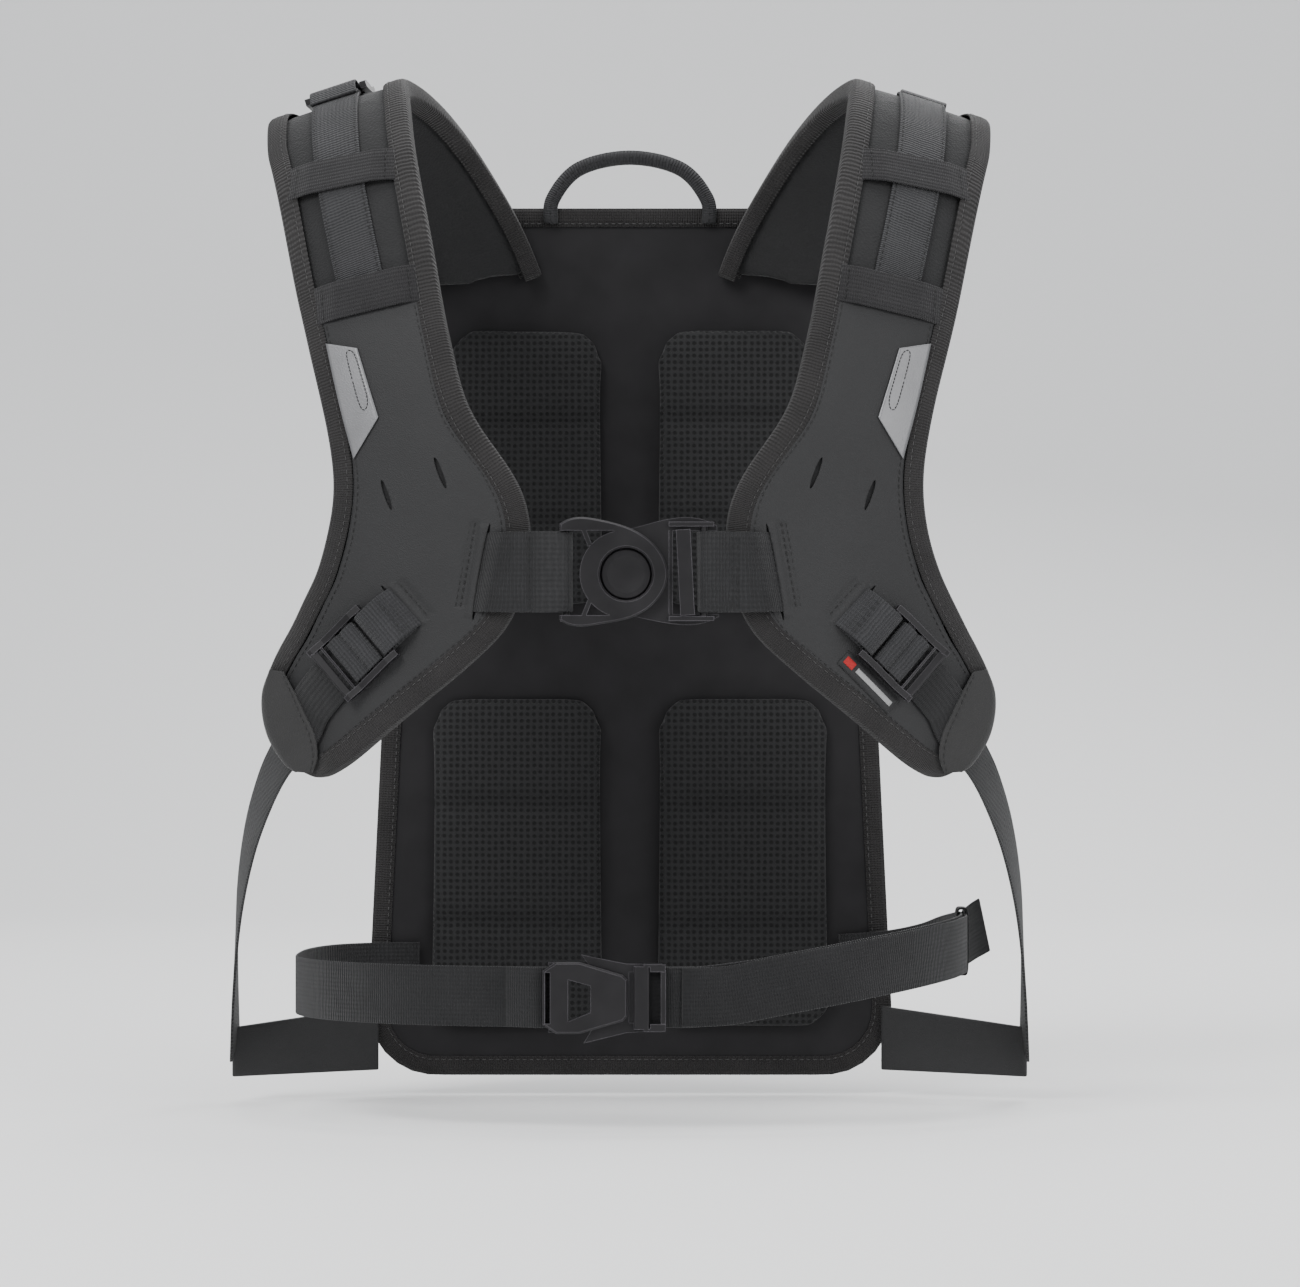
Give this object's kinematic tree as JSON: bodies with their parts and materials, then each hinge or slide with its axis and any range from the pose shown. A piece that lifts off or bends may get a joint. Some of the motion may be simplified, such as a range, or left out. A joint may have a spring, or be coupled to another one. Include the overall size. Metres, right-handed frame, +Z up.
{
  "type": "safety harness vest",
  "caption": "Worn harness vest: padded shoulder yokes on a back panel, joined in front by a round magnetic chest buckle and a hooked waist belt, with strap adjusters that tilt.",
  "frame": {"origin": "on the wearer's midline, at mid depth of the waist, level with the middle of the waist belt at its buckle", "axes": "+X is the wearer's left, +Y the wearer's back, +Z up"},
  "size_m": [0.4216, 0.2437, 0.5217],
  "materials": {
    "yoke_foam": "foam pad in a matt knitted lining",
    "edge_tape": "matt woven binding tape",
    "face_fabric": "smooth laminated fabric",
    "webbing": "ribbed polyester webbing",
    "belt_webbing": "ribbed polyester webbing",
    "elastic": "knitted elastic",
    "reflective": "grey reflective film",
    "buckle_plastic": "moulded, fine grain",
    "spring_steel": "plain wire",
    "magnet": "nickel plated",
    "back_fabric": "heavy plain weave",
    "back_board": "extruded sheet",
    "back_mesh": "spacer mesh over foam",
    "label": "woven label"
  },
  "bodies": {
    "harness": {"adjuster_anchor_left": "webbing", "adjuster_anchor_right": "webbing", "back_binding": "edge_tape", "back_cover": "back_fabric", "back_pad_lower_left": "back_mesh", "back_pad_lower_right": "back_mesh", "back_pad_upper_left": "back_mesh", "back_pad_upper_right": "back_mesh", "back_plate": "back_board", "band_lower_left": "webbing", "band_lower_right": "webbing", "band_upper_left": "webbing", "band_upper_right": "webbing", "belt_keeper": "elastic", "belt_side_left": "belt_webbing", "belt_side_right": "belt_webbing", "chest_anchor_left": "webbing", "chest_anchor_right": "webbing", "haul_loop": "webbing", "lifter_strap_left": "webbing", "lifter_strap_right": "webbing", "reflector_left": "reflective", "reflector_right": "reflective", "shoulder_web_left": "webbing", "shoulder_web_right": "webbing", "side_strap_left": "webbing", "side_strap_right": "webbing", "strap_label": "label", "tip_cap_left": "edge_tape", "tip_cap_right": "edge_tape", "wing_left": "back_fabric", "wing_right": "back_fabric", "yoke_binding_left": "edge_tape", "yoke_binding_right": "edge_tape", "yoke_pad_left": "yoke_foam", "yoke_pad_right": "yoke_foam", "yoke_panel_left": "face_fabric", "yoke_panel_right": "face_fabric"},
    "chest_right": {"chest_web_right": "webbing", "chest_ring": "buckle_plastic", "ring_magnet": "magnet"},
    "chest_left": {"chest_web_left": "webbing", "chest_base": "buckle_plastic", "base_magnet": "magnet", "button_spring": "spring_steel"},
    "button": {"chest_button": "buckle_plastic"},
    "belt_right": {"belt_web_right": "belt_webbing", "belt_hook": "buckle_plastic", "hook_magnet": "magnet"},
    "belt_left": {"belt_web_left": "belt_webbing", "belt_receiver": "buckle_plastic", "receiver_magnet": "magnet", "belt_tail": "belt_webbing"},
    "adjuster_right": {"adjuster_lock_right": "buckle_plastic", "adjuster_turn_right": "webbing"},
    "adjuster_left": {"adjuster_lock_left": "buckle_plastic", "adjuster_turn_left": "webbing"},
    "lifter_right": {"lifter_lock_right": "buckle_plastic"},
    "lifter_left": {"lifter_lock_left": "buckle_plastic"}
  },
  "joints": [
    {"name": "chest_right_swing", "type": "hinge", "parent": "harness", "child": "chest_right", "pos_m": [-0.064, -0.1225, 0.209], "axis": [0, 0, -1], "range_deg": [0, 100]},
    {"name": "chest_left_swing", "type": "hinge", "parent": "harness", "child": "chest_left", "pos_m": [0.064, -0.1225, 0.209], "axis": [0, 0, 1], "range_deg": [0, 40]},
    {"name": "chest_button_press", "type": "slide", "parent": "chest_left", "child": "button", "axis": [0, 1, 0], "range_m": [0, 0.002], "stiffness_N_per_m": 600, "springref_m": -0.0008, "deforming": ["button_spring"]},
    {"name": "belt_right_swing", "type": "hinge", "parent": "harness", "child": "belt_right", "pos_m": [-0.138, -0.06962, 0], "axis": [0, 0, -1], "range_deg": [0, 75]},
    {"name": "belt_left_swing", "type": "hinge", "parent": "harness", "child": "belt_left", "pos_m": [0.138, -0.06962, 0.016], "axis": [0, 0, 1], "range_deg": [0, 33.75]},
    {"name": "adjuster_right_tilt", "type": "hinge", "parent": "harness", "child": "adjuster_right", "pos_m": [-0.12481, -0.10814, 0.1791], "axis": [-0.6354, 0.2236, 0.7391], "range_deg": [0, 50]},
    {"name": "adjuster_left_tilt", "type": "hinge", "parent": "harness", "child": "adjuster_left", "pos_m": [0.12481, -0.10814, 0.1791], "axis": [-0.6354, -0.2236, -0.7391], "range_deg": [0, 50]},
    {"name": "lifter_right_tilt", "type": "hinge", "parent": "harness", "child": "lifter_right", "pos_m": [-0.15112, 0.01895, 0.45757], "axis": [0.9496, -0.0827, 0.3023], "range_deg": [0, 50]},
    {"name": "lifter_left_tilt", "type": "hinge", "parent": "harness", "child": "lifter_left", "pos_m": [0.15117, 0.03979, 0.4511], "axis": [0.9482, -0.0468, -0.3141], "range_deg": [0, 50]}
  ],
  "couplings": [
    {"joint": "chest_left_swing", "follows": "chest_right_swing", "ratio": 0.4},
    {"joint": "belt_left_swing", "follows": "belt_right_swing", "ratio": 0.45}
  ]
}
